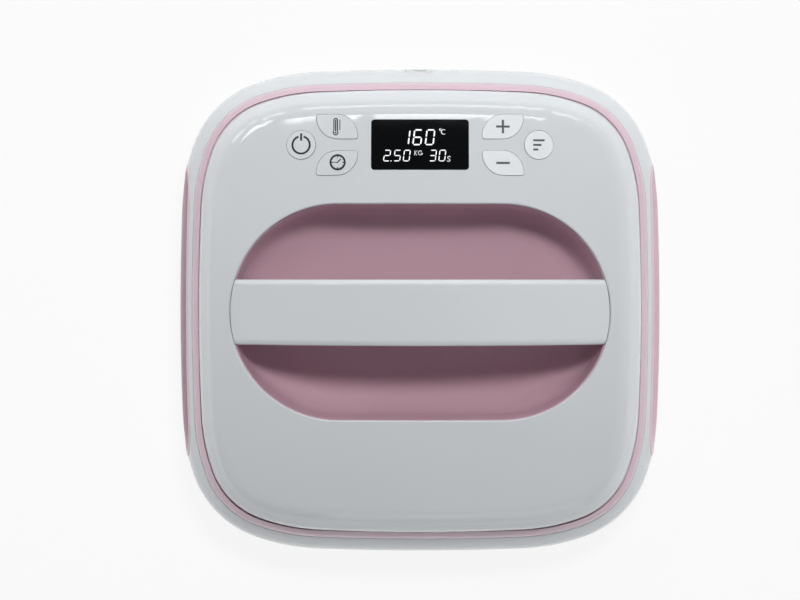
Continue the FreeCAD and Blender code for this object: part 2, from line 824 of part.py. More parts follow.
def control_board():
    middle_y = (control_board_front_y + control_board_rear_y) / 2
    depth = control_board_rear_y - control_board_front_y
    board = rounded_block(control_board_width, depth, board_corner, control_board_z, control_board_top_z,
                          0, middle_y)
    return board.cut([screw_hole(x, y, control_board_z, control_board_top_z) for x, y in control_posts()])


def tact_switches():
    switches = []
    for x, y, _ in BUTTONS.values():
        top = control_board_top_z + switch_height
        body = rounded_block(switch_size, switch_size, switch_size / 10, control_board_top_z, top, x, y)
        switches.append(body.fuse(post(x, y, switch_nub_radius, top, switch_top_z)).removeSplitter())
    return switches


def board_posts():
    """Places of the tray's posts under the power board."""
    x = power_board_width / 2 - control_post_inset
    near = power_board_front_y + control_post_inset
    far = power_board_rear_y - control_post_inset
    return [(sx * x, y) for sx in (-1, 1) for y in (near, far)]


def power_board():
    middle_y = (power_board_front_y + power_board_rear_y) / 2
    depth = power_board_rear_y - power_board_front_y
    board = rounded_block(power_board_width, depth, board_corner, power_board_z, power_board_top_z,
                          0, middle_y)
    return board.cut([screw_hole(x, y, power_board_z, power_board_top_z) for x, y in board_posts()])


def board_screws():
    screws = [screw(x, y, control_board_z, control_board_top_z + board_screw_bite, points_up=True)
              for x, y in control_posts()]
    screws += [screw(x, y, power_board_top_z, tray_floor_top_z) for x, y in board_posts()]
    return screws


def transformer():
    width, depth, height = transformer_size
    z = power_board_top_z
    core = rounded_block(width, depth, moulded_corner, z, z + height, transformer_x, component_y)
    coil = rounded_block(coil_width, depth + 2 * coil_overhang, coil_corner, z + coil_inset,
                         z + height - coil_inset, transformer_x, component_y)
    return core.fuse(coil).removeSplitter()


def filter_capacitor():
    z = power_board_top_z
    can = post(capacitor_x, component_y, capacitor_radius, z, z + capacitor_height)
    rims = [e for e in can.Edges if e.BoundBox.ZLength < 1e-6]
    return can.makeChamfer(capacitor_chamfer, rims)


def relay():
    width, depth, height = relay_size
    z = power_board_top_z
    return rounded_block(width, depth, moulded_corner, z, z + height, relay_x, component_y)


def triac_heatsink():
    """Comb of fins on a back plate."""
    width, depth, height = heatsink_size
    z = power_board_top_z
    left = heatsink_x - width / 2
    comb = [Part.makeBox(width, heatsink_back, height, Vector(left, component_y, z))]
    pitch = (width - heatsink_fin) / (heatsink_fins - 1)
    for i in range(heatsink_fins):
        comb.append(Part.makeBox(heatsink_fin, depth, height, Vector(left + i * pitch, component_y, z)))
    return fuse_all(comb)


def fuse_holder():
    """Glass fuse lying in two end clips."""
    z = power_board_top_z
    axis_z = z + fuse_radius + fuse_lift
    tube = Part.makeCylinder(fuse_radius, fuse_length, Vector(fuse_x - fuse_length / 2, fuse_y, axis_z),
                             Vector(1, 0, 0))
    clips = []
    for side in (-1, 1):
        x = fuse_x + side * (fuse_length / 2 - fuse_clip_inset)
        reach = fuse_radius + fuse_clip_wall
        clips.append(Part.makeBox(fuse_clip_length, 2 * reach, axis_z - z,
                                  Vector(x - fuse_clip_length / 2, fuse_y - reach, z)))
    return fuse_all([tube] + clips)


def terminal_block():
    width, depth, height = terminal_size
    z = power_board_top_z
    block = rounded_block(width, depth, moulded_corner, z, z + height, terminal_x, component_y)
    pitch = width / terminal_poles
    for i in range(terminal_poles):
        x = terminal_x - width / 2 + (i + 0.5) * pitch
        block = block.cut(post(x, component_y, pitch / 3, z + height - terminal_hole_depth, z + height))
    return block


def buzzer():
    low = control_board_z - buzzer_height
    can = post(buzzer_x, buzzer_y, buzzer_radius, low, control_board_z)
    return can.cut(post(buzzer_x, buzzer_y, buzzer_hole_radius, low, low + buzzer_hole_depth))


def chassis_tray():
    """Tray with a floor at half height, an outward flange on top and a rim that stands on the skirt."""
    body = slab(tray_half, tray_foot_z, tray_top_z)
    body = body.cut(slab(tray_inner_half, tray_foot_z - 1, tray_floor_z))
    body = body.cut(slab(tray_inner_half, tray_floor_top_z, tray_top_z + 1))
    flange = slab(tray_flange_half, tray_top_z - tray_wall, tray_top_z)
    flange = flange.cut(slab(tray_inner_half, tray_top_z - tray_wall - 1, tray_top_z + 1))
    bosses = [post(x, y, tray_boss_radius, tray_floor_z, opening_z).cut(pocket(bowl_wall, handle_top_z))
              for x, y in corners(handle_screw_x, handle_screw_y)]
    bosses += [post(x, y, post_radius, tray_floor_z, power_board_z) for x, y in board_posts()]
    inner = post_x - cell_span / math.sqrt(2)
    bosses += [post(x, y, cell_width / 2, cell_top_z, tray_floor_top_z) for x, y in corners(inner, inner)]
    body = body.fuse([flange] + bosses)
    tools = [screw_hole(x, y, tray_floor_top_z, opening_z)
             for x, y in corners(handle_screw_x, handle_screw_y)]
    tools += [screw_hole(x, y, cell_z, tray_floor_top_z) for x, y in corners(inner, inner)]
    tools += [post(x, y, standoff_radius, tray_floor_z, tray_floor_top_z) for x, y in corners(post_x, post_x)]
    tools += [screw_hole(x, y, tray_floor_top_z, power_board_z) for x, y in board_posts()]
    tools.append(rounded_block(heater_gap, 2 * standoff_radius, standoff_radius / 2, tray_floor_z,
                               tray_floor_top_z, 0, heater_half))
    tools.append(Part.makeCylinder(cord_passage_radius, 3 * tray_wall,
                                   Vector(0, tray_half - 2 * tray_wall, gland_z), Vector(0, 1, 0)))
    return body.cut(tools)


def rounded_loop(half, radius, z_from, z_to):
    return rounded_block(2 * half, 2 * half, radius, z_from, z_to)


def heat_plate():
    """Cast plate: flat pressing face, a channel for the heater on top, and fixing bosses."""
    plate = slab(plate_half, 0, plate_thickness)
    rims = [e for e in plate.Edges if e.BoundBox.ZMax < 1e-6]
    plate = plate.makeFillet(plate_edge_radius, rims)
    reach = heater_radius + heater_clearance
    wall = reach + heater_rib
    rib = rounded_loop(heater_half + wall, heater_corner + wall, plate_top_z, insulation_z)
    rib = rib.cut(rounded_loop(heater_half - wall, heater_corner - wall, plate_top_z, insulation_z))
    slot = rounded_loop(heater_half + reach, heater_corner + reach, heater_floor_z, insulation_z)
    slot = slot.cut(rounded_loop(heater_half - reach, heater_corner - reach, heater_floor_z, insulation_z))
    bosses = [post(x, y, plate_boss_radius, plate_top_z, standoff_z) for x, y in corners(post_x, post_x)]
    bosses.append(post(0, 0, sensor_boss_radius, plate_top_z, plate_top_z + sensor_boss_height))
    bosses.append(post(0, cutoff_y, cutoff_radius, plate_top_z, plate_top_z + sensor_boss_height))
    holes = [screw_hole(x, y, plate_top_z / 2, standoff_z) for x, y in corners(post_x, post_x)]
    return plate.fuse([rib] + bosses).cut([slot] + holes)


def heating_element():
    """Sheathed tube bent once round the channel, with a pin at each end."""
    half = heater_half
    corner = heater_corner
    z = heater_axis_z
    inner = half - corner
    bend = corner * math.sin(math.pi / 4)
    gap = heater_gap / 2
    points = [Vector(-gap, half, z), Vector(-inner, half, z)]
    path = [Part.makeLine(*points)]
    turns = [(-1, 1), (-1, -1), (1, -1), (1, 1)]
    for i, (sx, sy) in enumerate(turns):
        centre = Vector(sx * inner, sy * inner, z)
        vertical = Vector(sx * half, sy * inner, z)
        level = Vector(sx * inner, sy * half, z)
        middle = Vector(centre.x + sx * bend, centre.y + sy * bend, z)
        start, end = (level, vertical) if i % 2 == 0 else (vertical, level)
        path.append(Part.Arc(start, middle, end).toShape())
        if i < 3:
            nx, ny = turns[i + 1]
            following = Vector(nx * half, ny * inner, z) if i % 2 == 0 else Vector(nx * inner, ny * half, z)
            path.append(Part.makeLine(end, following))
    path.append(Part.makeLine(Vector(inner, half, z), Vector(gap, half, z)))
    circle = Part.Wire([Part.makeCircle(heater_radius, points[0], Vector(-1, 0, 0))])
    tube = Part.Wire(path).makePipeShell([circle], True, False)
    pins = []
    for side in (-1, 1):
        start = Vector(side * (gap + heater_radius), half, z)
        pins.append(Part.makeCylinder(terminal_pin_radius, terminal_pin_length + heater_radius, start,
                                      Vector(-side, 0, 0)))
    return fuse_all([tube] + pins)


def hot_holes(clearance, z_from, z_to):
    """Holes that clear the posts, the sensor, the cut-off and the heater's ends."""
    holes = [post(x, y, plate_boss_radius + clearance, z_from, z_to) for x, y in corners(post_x, post_x)]
    holes.append(rounded_block(sensor_length + 2 * hot_margin, 2 * sensor_boss_radius + hot_margin,
                               sensor_boss_radius, z_from, z_to))
    holes.append(post(0, cutoff_y, cutoff_radius + clearance + hot_margin, z_from, z_to))
    holes.append(rounded_block(heater_gap, 4 * heater_radius, heater_radius, z_from, z_to, 0, heater_half))
    return holes


def insulation_pad():
    pad = slab(insulation_half, insulation_z, insulation_top_z)
    return pad.cut(hot_holes(insulation_clearance, insulation_z, insulation_top_z))


def heat_shield():
    sheet = slab(shield_half, insulation_top_z, shield_top_z)
    return sheet.cut(hot_holes(insulation_clearance / 2, insulation_top_z, shield_top_z))


def temperature_sensor():
    """Bead lying on the middle boss under a saddle."""
    z = plate_top_z + sensor_boss_height
    bead = Part.makeCylinder(sensor_radius, sensor_length, Vector(-sensor_length / 2, 0, z + sensor_radius),
                             Vector(1, 0, 0))
    depth = 2 * (sensor_boss_radius - saddle_wall)
    saddle = rounded_block(saddle_width, depth, moulded_corner, z, z + 2 * sensor_radius + saddle_wall)
    return bead.fuse(saddle).removeSplitter()


def thermal_cutoff():
    z = plate_top_z + sensor_boss_height
    disc = post(0, cutoff_y, cutoff_radius, z, z + cutoff_height)
    tabs = []
    width, depth, height = cutoff_tab_size
    for side in (-1, 1):
        place = Vector(side * cutoff_tab_x - width / 2, cutoff_y - depth / 2, z + cutoff_height)
        tabs.append(Part.makeBox(width, depth, height, place))
    return fuse_all([disc] + tabs)


def along_diagonal(shape, x, y):
    """The shape, drawn along +X from the origin, turned towards the middle and moved to a corner."""
    angle = math.degrees(math.atan2(-y, -x))
    shape.rotate(Vector(0, 0, 0), Vector(0, 0, 1), angle)
    shape.translate(Vector(x, y, 0))
    return shape


def load_cells():
    """Four bars: the outer end stands on the plate's post, the inner end hangs from the tray."""
    cells = []
    for x, y in corners(post_x, post_x):
        length = cell_span + 2 * cell_end
        bar = rounded_block(length, cell_width, cell_corner, cell_z, cell_top_z, cell_span / 2, 0)
        for side in (-1, 1):
            middle = (cell_span + side * cell_bore_spacing) / 2
            bar = bar.cut(post(middle, 0, cell_bore_radius, cell_z, cell_top_z))
        for end in (0, cell_span):
            bar = bar.cut(screw_hole(end, 0, cell_z, cell_top_z))
        cells.append(along_diagonal(bar, x, y))
    return cells


def plate_standoffs():
    posts = []
    for x, y in corners(post_x, post_x):
        spacer = post(x, y, standoff_radius, standoff_z, cell_z)
        posts.append(spacer.cut(post(x, y, standoff_bore, standoff_z, cell_z)))
    return posts


def plate_screws():
    """Screws through the outer ends of the cells into the plate, and from the tray into their inner ends."""
    inner = post_x - cell_span / math.sqrt(2)
    screws = [screw(x, y, cell_top_z, plate_top_z / 2 + 1) for x, y in corners(post_x, post_x)]
    screws += [screw(x, y, tray_floor_top_z, cell_z) for x, y in corners(inner, inner)]
    return screws


def plate_skirt():
    """Heat-proof ring round the plate, with a flange that carries the tray."""
    inner = plate_half + skirt_clearance
    outer = inner + skirt_wall
    body = slab(outer, skirt_bottom_z, tray_foot_z)
    body = body.cut(slab(inner, skirt_bottom_z - 1, tray_foot_z - skirt_flange))
    return body.cut(slab(tray_half - skirt_seat, tray_foot_z - skirt_flange - 1, tray_foot_z + 1))


def cord_gland():
    """Rubber bush: flush with the shell outside, flanged inside."""
    start = body_half - gland_length
    bush = Part.makeCylinder(gland_radius, gland_length, Vector(0, start, gland_z), Vector(0, 1, 0))
    bush = bush.common(envelope(0))
    flange = Part.makeCylinder(gland_radius + gland_flange, gland_length, Vector(0, start, gland_z),
                               Vector(0, 1, 0))
    flange = flange.common(envelope(shell_wall))
    bore = Part.makeCylinder(cord_bore_radius, 2 * gland_length, Vector(0, start - 1, gland_z),
                             Vector(0, 1, 0))
    return bush.fuse(flange).cut(bore).removeSplitter()


def cord_clamp():
    """Saddle on the tray floor that grips the cord behind the gland."""
    z = tray_floor_top_z
    block = rounded_block(clamp_width, clamp_depth, clamp_corner, z, z + clamp_height, 0, clamp_y)
    groove = Part.makeCylinder(cord_bore_radius - clamp_squeeze, 2 * clamp_depth,
                               Vector(0, clamp_y - clamp_depth, gland_z), Vector(0, 1, 0))
    return block.cut(groove)


def bent_strip(points, thickness, radius):
    """Side view, in Y and Z, of a flat strip along a path with rounded bends."""
    sides = ([], [])
    last = len(points) - 1
    headings = [math.atan2(points[i + 1][1] - points[i][1], points[i + 1][0] - points[i][0])
                for i in range(last)]

    def beside(point, heading, side):
        return Vector(0, point[0] - side * thickness / 2 * math.sin(heading),
                      point[1] + side * thickness / 2 * math.cos(heading))

    for i, side in enumerate((1, -1)):
        at = beside(points[0], headings[0], side)
        start = at
        for k in range(1, last):
            turn = headings[k] - headings[k - 1]
            turn = math.atan2(math.sin(turn), math.cos(turn))
            back = radius * math.tan(abs(turn) / 2)
            y, z = points[k]
            enter = (y - back * math.cos(headings[k - 1]), z - back * math.sin(headings[k - 1]))
            leave = (y + back * math.cos(headings[k]), z + back * math.sin(headings[k]))
            hand = 1 if turn > 0 else -1
            centre = (enter[0] - hand * radius * math.sin(headings[k - 1]),
                      enter[1] + hand * radius * math.cos(headings[k - 1]))
            middle = headings[k - 1] + turn / 2
            reach = radius - hand * side * thickness / 2
            via = Vector(0, centre[0] + hand * reach * math.sin(middle),
                         centre[1] - hand * reach * math.cos(middle))
            entry = beside(enter, headings[k - 1], side)
            sides[i].append(Part.makeLine(at, entry))
            at = beside(leave, headings[k], side)
            sides[i].append(Part.Arc(entry, via, at).toShape())
        end = beside(points[last], headings[-1], side)
        sides[i].append(Part.makeLine(at, end))
        sides[i].append((start, end))
    first, second = (part.pop() for part in sides)
    caps = [Part.makeLine(first[0], second[0]), Part.makeLine(first[1], second[1])]
    return Part.Face(Part.Wire(Part.__sortEdges__(sides[0] + sides[1] + caps)))


def ribbon_cable():
    """Flat cable from the power board, along the tray's floor under the bowl, up to the control board."""
    width, depth, height = ribbon_connector_size
    low = tray_floor_top_z + ribbon_thickness / 2
    start_z = power_board_top_z + height / 2
    turn_y = power_board_rear_y + 3 * ribbon_bend
    top = control_board_z - height
    path = [(power_board_rear_y - depth / 2, start_z), (turn_y, start_z), (turn_y, low),
            (ribbon_rear_y, low), (ribbon_rear_y, top)]
    face = bent_strip(path, ribbon_thickness, ribbon_bend)
    face.translate(Vector(ribbon_x - ribbon_width / 2, 0, 0))
    return face.extrude(Vector(ribbon_width, 0, 0))


def ribbon_connectors():
    width, depth, height = ribbon_connector_size
    front_y = power_board_rear_y - depth
    front = rounded_block(width, depth, moulded_corner, power_board_top_z, power_board_top_z + height,
                          ribbon_x, front_y)
    rear = rounded_block(width, depth, moulded_corner, control_board_z - height, control_board_z,
                         ribbon_x, ribbon_rear_y)
    return [front, rear]


def save(name, shape):
    if isinstance(shape, list):
        shape = Part.makeCompound(shape)
    shape.exportStep("parts/" + name + ".step")


def main():
    for name, band in lower_shell().items():
        save(name, band)
    grip = side_grip()
    save("side_grip_left", mirrored(grip))
    save("side_grip_right", grip)
    save("trim_ring", trim_ring())
    save("top_cover", top_cover())
    save("handle_bowl", handle_bowl())
    top, bottom = handle_shells()
    save("handle_top_shell", top)
    save("handle_bottom_shell", bottom)
    save("handle_screws", handle_screws())
    save("bowl_screws", bowl_screws())
    save("display_window", display_window())
    save("display_module", display_module())
    for name in BUTTONS:
        save(name, button_cap(name))
    save("button_guide", button_guide())
    save("control_board", control_board())
    save("tact_switches", tact_switches())
    save("power_board", power_board())
    save("transformer", transformer())
    save("filter_capacitor", filter_capacitor())
    save("relay", relay())
    save("triac_heatsink", triac_heatsink())
    save("fuse", fuse_holder())
    save("terminal_block", terminal_block())
    save("buzzer", buzzer())
    save("board_screws", board_screws())
    save("chassis_tray", chassis_tray())
    save("heat_plate", heat_plate())
    save("heating_element", heating_element())
    save("insulation_pad", insulation_pad())
    save("heat_shield", heat_shield())
    save("temperature_sensor", temperature_sensor())
    save("thermal_cutoff", thermal_cutoff())
    save("load_cells", load_cells())
    save("plate_standoffs", plate_standoffs())
    save("plate_screws", plate_screws())
    save("plate_skirt", plate_skirt())
    save("cord_gland", cord_gland())
    save("cord_clamp", cord_clamp())
    save("ribbon_cable", ribbon_cable())
    save("ribbon_connectors", ribbon_connectors())


main()
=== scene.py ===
import math

import bmesh
import bpy
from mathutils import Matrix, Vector
from mathutils.bvhtree import BVHTree


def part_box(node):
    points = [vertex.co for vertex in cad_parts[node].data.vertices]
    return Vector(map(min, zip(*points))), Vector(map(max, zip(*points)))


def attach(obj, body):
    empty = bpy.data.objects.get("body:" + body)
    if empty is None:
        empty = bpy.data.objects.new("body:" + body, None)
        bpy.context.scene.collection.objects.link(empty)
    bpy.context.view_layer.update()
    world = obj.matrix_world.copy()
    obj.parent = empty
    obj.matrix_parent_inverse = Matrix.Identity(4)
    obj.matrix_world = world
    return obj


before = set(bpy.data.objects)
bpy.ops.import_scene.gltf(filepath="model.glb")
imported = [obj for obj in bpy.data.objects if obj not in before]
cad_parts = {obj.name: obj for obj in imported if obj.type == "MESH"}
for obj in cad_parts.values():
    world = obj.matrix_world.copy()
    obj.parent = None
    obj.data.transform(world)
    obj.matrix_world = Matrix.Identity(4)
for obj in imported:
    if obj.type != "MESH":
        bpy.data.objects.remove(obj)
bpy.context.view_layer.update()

bl_info = {
    "name": "Handheld Heat Press Finish",
    "version": (1, 0, 0),
    "blender": (4, 5, 0),
    "location": "View3D > Sidebar > Heat Press",
    "description": "Finishes, display digits and button symbols for a handheld heat press",
    "category": "Object",
}

MM = 0.001
PRESS_BODY = "press_body"
LEFT_CAPS = ("power_button", "temperature_button", "timer_button")
RIGHT_CAPS = ("plus_button", "minus_button", "mode_button")

# Faces that meet at less than this angle are parts of one curved surface
SMOOTH_ANGLE = math.radians(28)
# Weight at which Blender counts faces by their plain area
AREA_WEIGHT = 50

# Refractive indices of the plastics and of the plate's coating
ABS_IOR = 1.54
PLASTIC_IOR = 1.5
ACRYLIC_IOR = 1.49
RUBBER_IOR = 1.52
COATING_IOR = 1.38
# Length over which the colour of a moulding wanders
COLOUR_DRIFT = 45 * MM
# Nearly all values of a noise texture lie between these two
NOISE_RANGE = (0.3, 0.7)
SMOOTHEST = 0.02

# Lower left corners of the numbers, in millimetres from the middle of the display
TEMPERATURE_CORNER = (-11.3, -0.4)
FORCE_CORNER = (-20.6, -9.4)
TIME_CORNER = (4.9, -9.4)
# Width of a digit, distance from one digit to the next, and width of its bars, in millimetres
LARGE_DIGIT = (5.1, 6.9, 0.78)
SMALL_DIGIT = (3.8, 5.2, 0.54)
DIGIT_SLANT = math.tan(math.radians(7))
# Gap between two bars at a digit's corner, length of a bar's pointed end, and what is left of its
# width at the very tip, as shares of the bar's width
BAR_GAP = 0.42
BAR_NIB = 0.45
BAR_TIP = 0.25

# The room: the walls fade into the ceiling between two heights on a unit sphere
WALL_FADE = (0.02, 0.32)
WALL_COLOUR = (1.0, 1.01, 1.02, 1.0)
CEILING_COLOUR = (0.024, 0.025, 0.027, 1.0)
# How bright the walls are in front and behind, how bright at the sides, and what the right adds
WALL_GLOW = (1.1, 3.4)
RIGHT_WALL_EXTRA = 0.45
WHITE = (1.0, 1.0, 1.0, 1.0)
PAPER = "#F6F6F6"
# Share of the paper's look that is plain white where it is seen directly; the rest shows shadows
PAPER_WHITENESS = 0.88

# Window panes on the rear wall, whose images make the bright dashes along the cover's rear edge:
# name, left and right edge in metres, lower and upper tilt from the vertical in degrees, and glow
# in units of white paper
PANES = (
    ("pane_1", -1.35, -0.96, 43.0, 54.0, 4.0),
    ("pane_2", -0.71, -0.54, 24.0, 37.0, 7.5),
    ("pane_3", -0.465, -0.345, 23.95, 30.0, 8.5),
    ("pane_4", -0.235, -0.188, 24.05, 27.0, 8.5),
    ("pane_5", -0.145, 0.25, 24.1, 25.6, 8.5),
    ("pane_6", 0.345, 0.41, 24.2, 25.4, 8.0),
    ("pane_7", 0.45, 0.52, 24.0, 25.8, 8.5),
    ("low_pane_1", -0.95, -0.74, 55.0, 63.0, 3.5),
    ("low_pane_2", -0.66, -0.5, 50.0, 60.0, 3.5),
    ("low_pane_3", -0.41, 0.425, 55.0, 63.0, 3.5),
    ("low_pane_4", 0.5, 0.71, 50.0, 61.0, 3.5),
    ("low_pane_5", 0.87, 0.95, 50.0, 62.0, 3.5),
)
PANE_DISTANCE = 1.2
REAR_OF_COVER = Vector((0.0, 0.107, 0.08))

# The camera looks almost straight down, from a little towards the rear, at the middle of the press
CAMERA_Y = 0.021
CAMERA_AIM_Z = 0.025
CAMERA_SENSOR = 36.0
CAMERA_LENS = 90.72
CAMERA_SHIFT = (-0.025, 0.013)
CAMERA_REACH = 30.0


def linear(hex_colour):
    """Linear colour of an sRGB hex value."""
    parts = [int(hex_colour[i:i + 2], 16) / 255 for i in (1, 3, 5)]
    return tuple(p / 12.92 if p <= 0.04045 else ((p + 0.055) / 1.055) ** 2.4 for p in parts)


def colour_prop(name, description, hex_colour):
    return bpy.props.FloatVectorProperty(
        name=name, description=description, subtype="COLOR", size=3, min=0.0, max=1.0,
        default=linear(hex_colour))


def length_prop(name, description, millimetres):
    return bpy.props.FloatProperty(
        name=name, description=description, unit="LENGTH", min=0.0, default=millimetres * MM)


def number_prop(name, description, digits):
    return bpy.props.StringProperty(name=name, description=description, default=digits)


class PressColours(bpy.types.PropertyGroup):
    """Colours of the parts that a maker would offer in other shades."""

    shell: colour_prop("Shell white", "Cover, handle and lower shell", "#DCE0E3")
    caps: colour_prop("Left cap white", "The three push buttons to the left", "#DBDFE2")
    # Painted light: the right caps' white is lighter than the left caps' white to stand for the
    # light they catch
    painted_light_caps: colour_prop("Right cap white", "The three push buttons to the right", "#EEF1F3")
    pink: colour_prop("Bowl pink", "Bowl under the handle", "#CBA7B4")
    trim: colour_prop("Trim pink", "Ring between the cover and the lower shell", "#DAC0CB")
    # Painted light: the grip pink is lighter than the bowl pink to make up for the shade in the
    # concave scoops
    grip: colour_prop("Grip pink", "Lining of the finger scoops", "#E3CBD4")
    window: colour_prop("Display window", "Smoked acrylic over the display", "#0C0D0F")
    digits: colour_prop("Digits", "Lit segments of the display", "#F4F7F8")
    ink: colour_prop("Dark ink", "Symbols on the three left caps", "#25282C")
    pale_ink: colour_prop("Grey ink", "Symbols on the three right caps", "#5B5E61")


class PressSizes(bpy.types.PropertyGroup):
    """Sizes of what is printed or lit, and of the stage."""

    large_digit: length_prop("Large digit", "Height of the temperature's digits", 9.0)
    small_digit: length_prop("Small digit", "Height of the force's and the time's digits", 6.5)
    print_lift: length_prop("Print lift", "How far ink and segments stand on their carrier", 0.04)
    print_depth: length_prop("Print depth", "How far they reach into their carrier", 0.08)
    floor: length_prop("Floor", "Side of the square floor", 12000.0)
    floor_gap: length_prop("Floor gap", "How far the floor lies below the hot plate", 0.2)
    camera_height: length_prop("Camera height", "Height of the camera above the hot plate", 1202.0)


class PressReadings(bpy.types.PropertyGroup):
    """Numbers on the display, with digits and points only."""

    temperature: number_prop("Temperature", "Upper number, in degrees Celsius", "160")
    force: number_prop("Force", "Lower left number, in kilograms", "2.50")
    time: number_prop("Time", "Lower right number, in seconds", "30")


def add_node(tree, kind, inputs=None, **settings):
    """One shader node: settings are its properties, inputs its sockets' values or links."""
    made = tree.nodes.new(kind)
    for key, value in settings.items():
        setattr(made, key, value)
    for key, value in (inputs or {}).items():
        if isinstance(value, bpy.types.NodeSocket):
            tree.links.new(value, made.inputs[key])
        else:
            made.inputs[key].default_value = value
    return made


def new_material(name):
    """A material with an empty node tree, and the tree."""
    material = bpy.data.materials.new(name)
    material.use_nodes = True
    material.node_tree.nodes.clear()
    return material, material.node_tree


def shade(colour, factor):
    """The colour made lighter or darker, as an RGBA value."""
    return tuple(min(c * factor, 1.0) for c in colour) + (1.0,)


def surface_material(name, colour, roughness, grain_mm, bump_mm, spread=0.03, rough_spread=0.05,
                     metallic=0.0, ior=PLASTIC_IOR, emission=0.0):
    """A principled surface whose colour drifts slowly and whose gloss and relief have a grain."""
    material, tree = new_material(name)
    place = add_node(tree, "ShaderNodeTexCoord").outputs["Object"]
    drift = add_node(tree, "ShaderNodeTexNoise", {
        "Vector": place, "Scale": 1 / COLOUR_DRIFT, "Detail": 2.0})
    grain = add_node(tree, "ShaderNodeTexNoise", {
        "Vector": place, "Scale": 1 / (grain_mm * MM), "Detail": 3.0, "Roughness": 0.6})
    tint = add_node(tree, "ShaderNodeMix", {
        "Factor": drift.outputs["Fac"],
        "A": shade(colour, 1 - spread), "B": shade(colour, 1 + spread)}, data_type="RGBA")
    gloss = add_node(tree, "ShaderNodeMapRange", {
        "Value": grain.outputs["Fac"], "From Min": NOISE_RANGE[0], "From Max": NOISE_RANGE[1],
        "To Min": max(roughness - rough_spread, SMOOTHEST), "To Max": roughness + rough_spread})
    relief = add_node(tree, "ShaderNodeBump", {
        "Height": grain.outputs["Fac"], "Distance": bump_mm * MM, "Strength": 1.0})
    inputs = {
        "Base Color": tint.outputs["Result"], "Roughness": gloss.outputs["Result"],
        "Normal": relief.outputs["Normal"], "Metallic": metallic}
    if metallic < 1.0:
        inputs["IOR"] = ior
    if emission > 0.0:
        inputs["Emission Color"] = colour + (1.0,)
        inputs["Emission Strength"] = emission
    surface = add_node(tree, "ShaderNodeBsdfPrincipled", inputs)
    add_node(tree, "ShaderNodeOutputMaterial", {"Surface": surface.outputs["BSDF"]})
    return material


def polished_abs(name, colour):
    """ABS moulded against polished steel: glossy, with the faint long waves of cooling skin."""
    return surface_material(name, tuple(colour), roughness=0.045, grain_mm=9.0, bump_mm=0.003,
                            spread=0.012, rough_spread=0.01, ior=ABS_IOR)


def satin_abs(name, colour):
    """ABS moulded against spark-eroded steel: a fine even grain that spreads its highlights."""
    return surface_material(name, tuple(colour), roughness=0.38, grain_mm=0.45, bump_mm=0.008,
                            spread=0.02, ior=ABS_IOR)


def lapped_abs(name, colour):
    """ABS moulded against finely lapped steel: a soft gloss with blurred reflections."""
    return surface_material(name, tuple(colour), roughness=0.26, grain_mm=0.6, bump_mm=0.004,
                            spread=0.01, ior=ABS_IOR)


def printed_ink(name, colour):
    """Pad-printed ink: matt, a few hundredths of a millimetre thick."""
    return surface_material(name, tuple(colour), roughness=0.6, grain_mm=0.3, bump_mm=0.002)


def smooth_faces(obj):
    """Rounds the shading of curved faces and keeps real edges sharp."""
    mesh = obj.data
    mesh.polygons.foreach_set("use_smooth", [True] * len(mesh.polygons))
    mesh.set_sharp_from_angle(angle=SMOOTH_ANGLE)
    # Large flat faces keep their own normal, so that they don't shade as if they were bent
    normals = obj.modifiers.new("face_weighted_normals", "WEIGHTED_NORMAL")
    normals.mode = "FACE_AREA"
    normals.weight = AREA_WEIGHT
    normals.keep_sharp = True


def dress(material, *nodes):
    """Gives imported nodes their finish."""
    for name in nodes:
        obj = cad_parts[name]
        obj.data.materials.clear()
        obj.data.materials.append(material)
        smooth_faces(obj)


def middle_of(node):
    """X and Y of the middle of a node's box."""
    low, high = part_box(node)
    return (low.x + high.x) / 2, (low.y + high.y) / 2


def surface_heights(node):
    """A function from a place in X and Y to the height of a node's top surface there."""
    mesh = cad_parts[node].data
    tree = BVHTree.FromPolygons([v.co for v in mesh.vertices], [p.vertices for p in mesh.polygons])
    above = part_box(node)[1].z + 10 * MM

    def height(x, y):
        hit = tree.ray_cast(Vector((x, y, above)), Vector((0, 0, -1)))[0]
        if hit is None:
            raise RuntimeError(f"{node} has no surface at {x:.4f}, {y:.4f}")
        return hit.z

    return height


def across(x, y, ux, uy, width):
    """Left and right points of a stroke that runs through x, y in the direction ux, uy."""
    half = width / 2
    return (x - uy * half, y + ux * half), (x + uy * half, y - ux * half)


def line_pairs(start, end, width, tip=1.0, nib=0.0):
    """Left and right points along a bar, which narrows to tip times its width over nib."""
    (ax, ay), (bx, by) = start, end
    length = math.hypot(bx - ax, by - ay)
    ux, uy = (bx - ax) / length, (by - ay) / length
    stops = [(0.0, 1.0), (length, 1.0)]
    if nib:
        stops = [(0.0, tip), (nib, 1.0), (length - nib, 1.0), (length, tip)]
    pairs = [across(ax + ux * along, ay + uy * along, ux, uy, width * share)
             for along, share in stops]
    return pairs, False


def arc_pairs(centre, radius, start, end, width, steps=40):
    """Left and right points round an arc, in degrees from +X; a full turn closes on itself."""
    closed = abs(end - start) >= 360
    pairs = []
    for i in range(steps if closed else steps + 1):
        angle = math.radians(start + (end - start) * i / steps)
        cx, cy = math.cos(angle), math.sin(angle)
        inner, outer = radius - width / 2, radius + width / 2
        pairs.append(((centre[0] + cx * inner, centre[1] + cy * inner),
                      (centre[0] + cx * outer, centre[1] + cy * outer)))
    return pairs, closed


def path_pairs(points, width):
    """Left and right points along a bent stroke, square to the way between a point's neighbours."""
    pairs = []
    last = len(points) - 1
    for i, (x, y) in enumerate(points):
        before, after = points[max(i - 1, 0)], points[min(i + 1, last)]
        length = math.hypot(after[0] - before[0], after[1] - before[1])
        ux, uy = (after[0] - before[0]) / length, (after[1] - before[1]) / length
        pairs.append(across(x, y, ux, uy, width))
    return pairs, False


